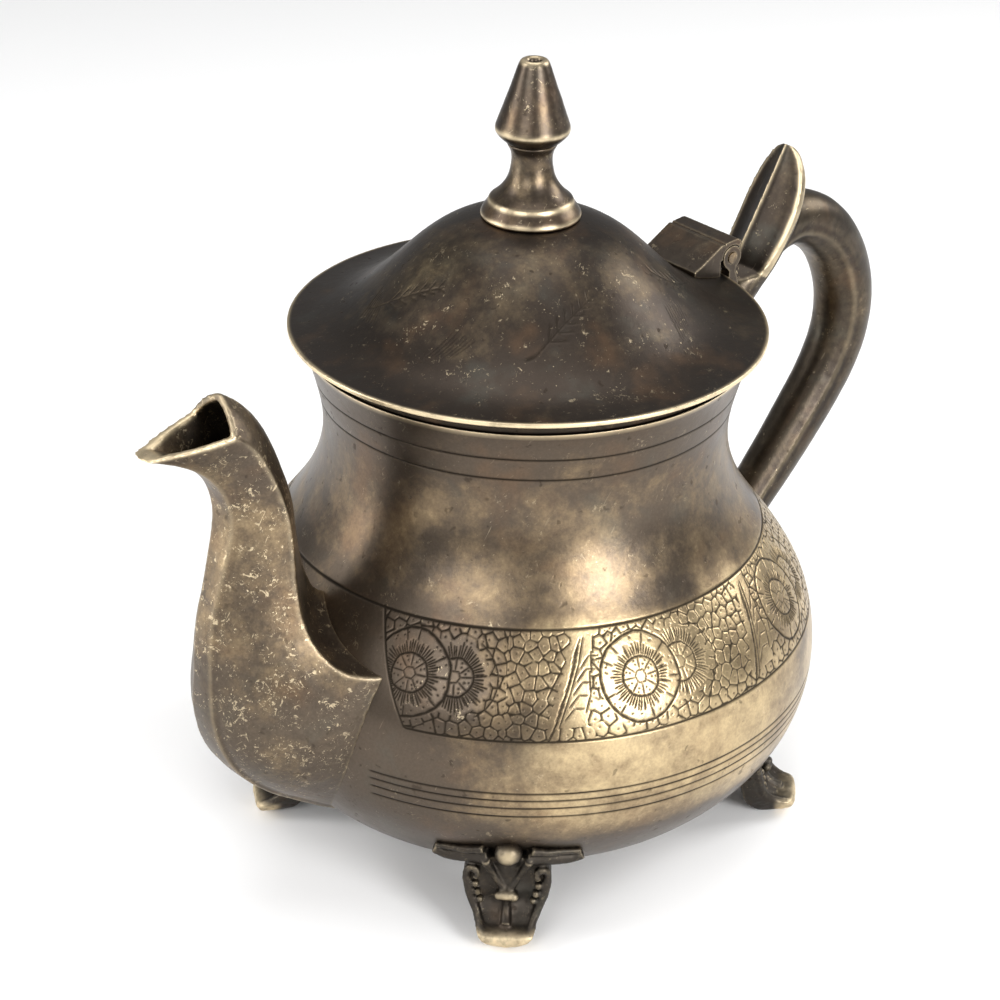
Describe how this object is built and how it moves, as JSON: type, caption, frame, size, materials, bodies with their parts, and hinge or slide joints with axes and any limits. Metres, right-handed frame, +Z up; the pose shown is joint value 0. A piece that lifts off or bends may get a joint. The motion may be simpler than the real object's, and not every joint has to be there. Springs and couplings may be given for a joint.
{
  "type": "coffee pot",
  "caption": "Footed, bellied brass coffee pot with a faceted S spout, loop handle with thumb leaf, and a hinged domed lid with a turned finial.",
  "frame": {"origin": "on the table plane (the feet's soles, z = 0), at the turning axis of the vessel", "axes": "+Z up along the vessel's axis, -X towards the spout, +X towards the handle; the hinge pin runs along Y"},
  "size_m": [0.2463, 0.16, 0.2118],
  "materials": {
    "patinated_brass": "aged brass with a dark brown patina, rubbed to gold on the belly",
    "cast_brass": "cast brass, dark patina, scratched, bright worn edges",
    "foot_brass": "rough cast brass, nearly black, with bright toes",
    "pin_brass": "worn bare brass"
  },
  "bodies": {
    "pot": {"body_vessel": "patinated_brass", "base_disc": "patinated_brass", "spout_left_half": "cast_brass", "spout_right_half": "cast_brass", "handle": "cast_brass", "hinge_bracket": "cast_brass", "hinge_pin": "pin_brass", "foot_handle_left": "foot_brass", "foot_spout_left": "foot_brass", "foot_spout_right": "foot_brass", "foot_handle_right": "foot_brass"},
    "lid": {"lid_dome": "patinated_brass", "lid_bezel": "patinated_brass", "lid_hinge_block": "cast_brass", "finial_stem": "cast_brass", "finial_knob": "cast_brass", "finial_tie_rod": "pin_brass", "finial_washer": "pin_brass", "finial_nut": "pin_brass"}
  },
  "joints": [
    {"name": "lid_hinge", "type": "hinge", "parent": "pot", "child": "lid", "pos_m": [0.0628, 0, 0.1475], "axis": [0, 1, 0], "range_deg": [0, 105]}
  ]
}
